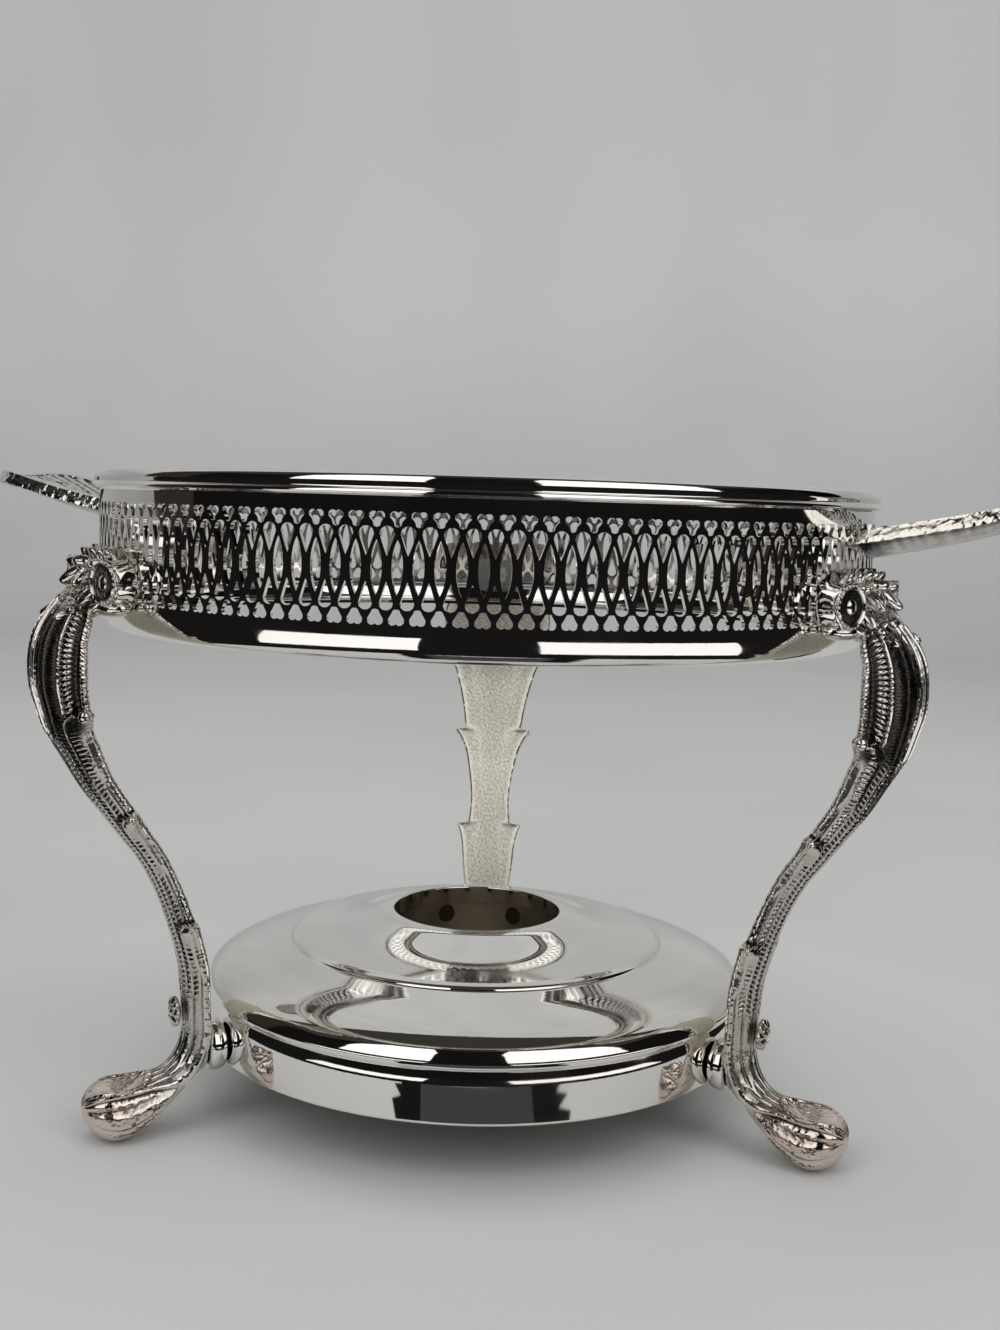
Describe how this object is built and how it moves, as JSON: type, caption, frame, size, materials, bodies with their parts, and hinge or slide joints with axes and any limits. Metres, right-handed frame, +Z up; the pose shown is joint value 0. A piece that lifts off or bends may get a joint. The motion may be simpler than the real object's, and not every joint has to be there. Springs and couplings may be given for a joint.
{
  "type": "chafing dish stand",
  "caption": "Silver-plated chafing dish stand: a pierced ring with two tongue handles, carried on scrolled cast legs over a domed burner base with a vented cup.",
  "frame": {"origin": "the middle of the stand's own box, on the surface it stands on", "axes": "+X to the right seen from the side between the two front legs, along the handles' long way; +Y to the back leg; +Z up"},
  "size_m": [0.3486, 0.2646, 0.1958],
  "materials": {
    "polished_plate": "bright polished silver plate on rolled and spun sheet, lightly worn to a warm tint",
    "cast_plate": "silver plate on cast ornament, bright on the high places and dark in the hollows",
    "burner_tin": "dull plated sheet, browned by heat",
    "steel": "plain plated steel"
  },
  "bodies": {
    "root": {"gallery_ring": "polished_plate", "dish_ledge": "polished_plate", "top_rim": "polished_plate", "base_dome": "polished_plate", "burner_cup": "burner_tin", "handle_left": "cast_plate", "handle_right": "cast_plate", "leg_left": "cast_plate", "leg_right": "cast_plate", "leg_back": "cast_plate", "leg_washer_left": "steel", "leg_washer_right": "steel", "leg_washer_back": "steel", "ring_screw_left": "steel", "ring_screw_right": "steel", "ring_screw_back": "steel", "base_spacer_left": "polished_plate", "base_spacer_right": "polished_plate", "base_spacer_back": "polished_plate", "base_screw_left": "steel", "base_screw_right": "steel", "base_screw_back": "steel", "rosette_left": "cast_plate", "rosette_right": "cast_plate", "rosette_back": "cast_plate"}
  },
  "joints": []
}
